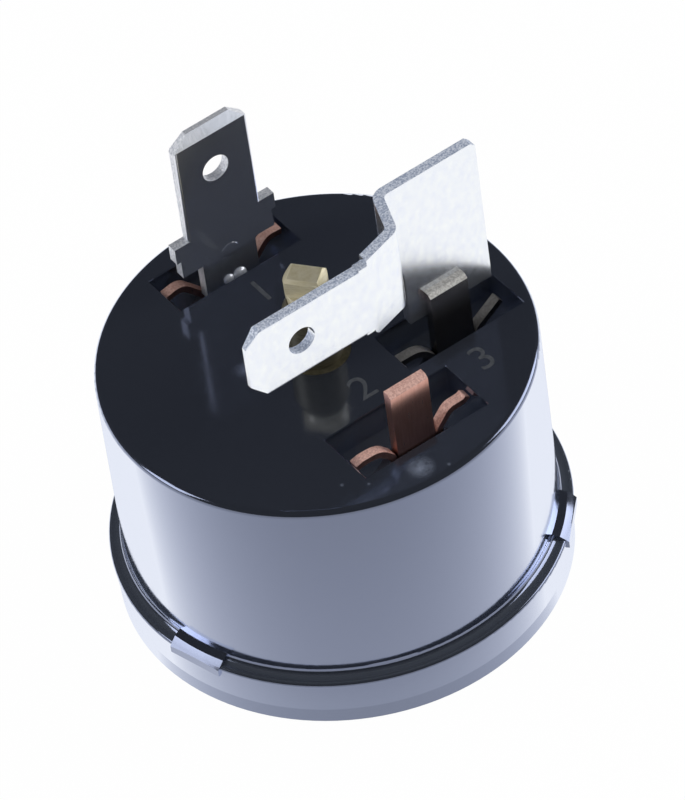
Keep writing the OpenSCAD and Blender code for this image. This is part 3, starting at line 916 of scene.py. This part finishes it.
@dataclass
class Protector:
    """The protector's CAD nodes with their finishes, and the parts that show with broken edges."""

    nodes: dict[str, Object]
    top: float
    tumbled: tuple[TumbledPart, ...] = (
        TumbledPart("terminal_1", "tab_1_strip", "tin", 0.2, 3),
        TumbledPart("bracket_1", "blade_1_strip", "copper", 0.09, 2),
        TumbledPart("bracket_2", "blade_2_strip", "copper", 0.09, 2),
        TumbledPart("bracket_3", "blade_3_strip", "tinned_copper", 0.09, 2),
        TumbledPart("calibration_stud", "post", "brass", 0.12, 3),
    )

    def build(self) -> None:
        """Dress each CAD node, then break the edges of the parts that show with broken ones."""
        for name, finish in {"housing": MouldedPhenolic(self.top), **METAL_NODES}.items():
            dress(self.nodes[name], finish)
            LOG.info("%s: %s", name, finish.name)
        for part in self.tumbled:
            part.build(self.nodes)


@dataclass
class Numerals:
    """Plain terminal numbers, marked on the top face in grey. Sizes in millimetres."""

    top: float
    height: float = 2.3
    ink: float = 0.012
    thinning: float = 0.004
    cap_share: float = 0.69
    curve_steps: int = 6
    smooth_below: float = 40
    places: tuple[tuple[str, float, float], ...] = (("1", 0.5, 7.26), ("2", 0.23, -5.3), ("3", 8.3, -8.64))

    def build(self) -> None:
        """Set each number flat on the top face."""
        for digit, x, y in self.places:
            bpy.ops.object.select_all(action="DESELECT")
            bpy.ops.object.text_add(location=(x * MM, y * MM, self.top + self.ink * MM / 2))
            text = bpy.context.object.data
            text.body = digit
            text.align_x = "CENTER"
            text.align_y = "CENTER"
            text.size = self.height / self.cap_share * MM
            text.offset = -self.thinning * MM
            text.extrude = self.ink * MM / 2
            text.resolution_u = self.curve_steps
            select_only(bpy.context.object)
            bpy.ops.object.convert(target="MESH")
            piece = bpy.context.object
            settle(piece, f"numeral_{digit}", self.smooth_below)
            dress(piece, PrintedGrey())
            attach(piece, "base")
            LOG.info("%s: %d faces", piece.name, len(piece.data.polygons))


class WeldMark(Enum):
    """What a spot weld leaves, as its depth for its width and its finish."""

    # A bead, painted nearly white as a highlight
    BEAD = (0.6, WELD_GLINT)
    DIMPLE = (0.05, TIN_UPRIGHT)


@dataclass
class WeldMarks:
    """Marks of the spot weld that holds terminal 1, on its front face. Sizes in millimetres."""

    face: float
    marks: tuple[tuple[WeldMark, float, float, float], ...] = (
        (WeldMark.BEAD, 0.95, 19.7, 0.55),
        (WeldMark.BEAD, -0.02, 19.75, 0.45),
        (WeldMark.DIMPLE, 0.44, 22.4, 0.75),
    )
    flatness: float = 0.9
    fineness: int = 4
    lumps: float = 0.05
    smoothing: float = 0.5
    smoothing_rounds: int = 4
    smooth_below: float = 80

    def build(self) -> None:
        """Model each mark as a lump that is flattened against the face."""
        for number, (mark, x, z, radius) in enumerate(self.marks, 1):
            depth, finish = mark.value
            bpy.ops.object.select_all(action="DESELECT")
            bpy.ops.mesh.primitive_ico_sphere_add(
                subdivisions=self.fineness, radius=radius * MM, location=(x * MM, self.face, z * MM)
            )
            piece = bpy.context.object
            piece.scale = (1.0, depth, self.flatness)
            bpy.ops.object.mode_set(mode="EDIT")
            bpy.ops.mesh.select_all(action="SELECT")
            bpy.ops.transform.vertex_random(offset=self.lumps * MM, seed=number)
            bpy.ops.mesh.vertices_smooth(factor=self.smoothing, repeat=self.smoothing_rounds)
            bpy.ops.object.mode_set(mode="OBJECT")
            settle(piece, f"weld_bead_{number}", self.smooth_below)
            dress(piece, finish)
            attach(piece, "base")
            LOG.info("%s: %d faces", piece.name, len(piece.data.polygons))


@dataclass
class SnapDisc:
    """Dished bimetal disc in two halves, each spun from the dish's section through half a turn."""

    radius: float = 12.0
    hole: float = 1.7
    thickness: float = 0.3
    dish: float = 1.6
    low: float = 4.8
    still_y: float = 2.6
    contact_y: float = 7.6
    rings: int = 14
    turns: int = 48
    smooth_below: float = 30

    def rise(self, radius: float) -> float:
        """Height of the dish above its middle at a radius, in millimetres."""
        ball = (self.radius ** 2 + self.dish ** 2) / (2 * self.dish)
        return ball - math.sqrt(ball ** 2 - radius ** 2)

    def add_section(self) -> Object:
        """Model the disc's section from the hole to the rim, on the plane of X and Z.

        Returns:
            The section, in edit mode.
        """
        bpy.ops.object.select_all(action="DESELECT")
        width = self.radius - self.hole
        bpy.ops.mesh.primitive_grid_add(
            x_subdivisions=self.rings,
            y_subdivisions=1,
            size=1,
            location=((self.hole + width / 2) * MM, 0, (self.low + self.thickness / 2) * MM),
            rotation=(math.pi / 2, 0, 0),
        )
        piece = bpy.context.object
        piece.scale = (width * MM, self.thickness * MM, 1)
        bpy.ops.object.transform_apply(location=True, rotation=True, scale=True)
        bpy.ops.object.mode_set(mode="EDIT")
        shape = bmesh.from_edit_mesh(piece.data)
        for ring in range(self.rings + 1):
            reach = self.hole + width * ring / self.rings
            bpy.ops.mesh.select_all(action="DESELECT")
            for vertex in shape.verts:
                vertex.select_set(abs(vertex.co.x - reach * MM) < MERGE_DISTANCE)
            bpy.ops.transform.translate(value=(0, 0, self.rise(reach) * MM))
        return piece

    def build(self) -> None:
        """Spin the disc's section through half a turn for each side."""
        for side in (1, -1):
            piece = self.add_section()
            bpy.ops.mesh.select_all(action="SELECT")
            # Spin turns clockwise, seen from above, so +Y needs a negative angle
            bpy.ops.mesh.spin(steps=self.turns, angle=-side * math.pi, center=(0, 0, 0), axis=(0, 0, 1))
            bpy.ops.mesh.select_all(action="SELECT")
            bpy.ops.mesh.remove_doubles(threshold=MERGE_DISTANCE)
            bpy.ops.mesh.normals_make_consistent(inside=False)
            bpy.ops.object.mode_set(mode="OBJECT")
            name = "disc_half_1" if side > 0 else "disc_half_2"
            settle(piece, name, self.smooth_below)
            dress(piece, BIMETAL)
            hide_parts("bimetal_disc")
            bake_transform(piece)
            LOG.info("%s: %d faces", name, len(piece.data.polygons))


def main() -> None:
    """Build the looks of the protector on its frame."""
    logging.basicConfig(level=logging.INFO, format="%(message)s")
    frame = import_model()
    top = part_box("housing")[1].z
    tab_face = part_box("terminal_1")[0].y
    Studio().build()
    Protector(frame["nodes"], top).build()
    Numerals(top).build()
    WeldMarks(tab_face).build()
    SnapDisc().build()


if __name__ == "__main__":
    main()
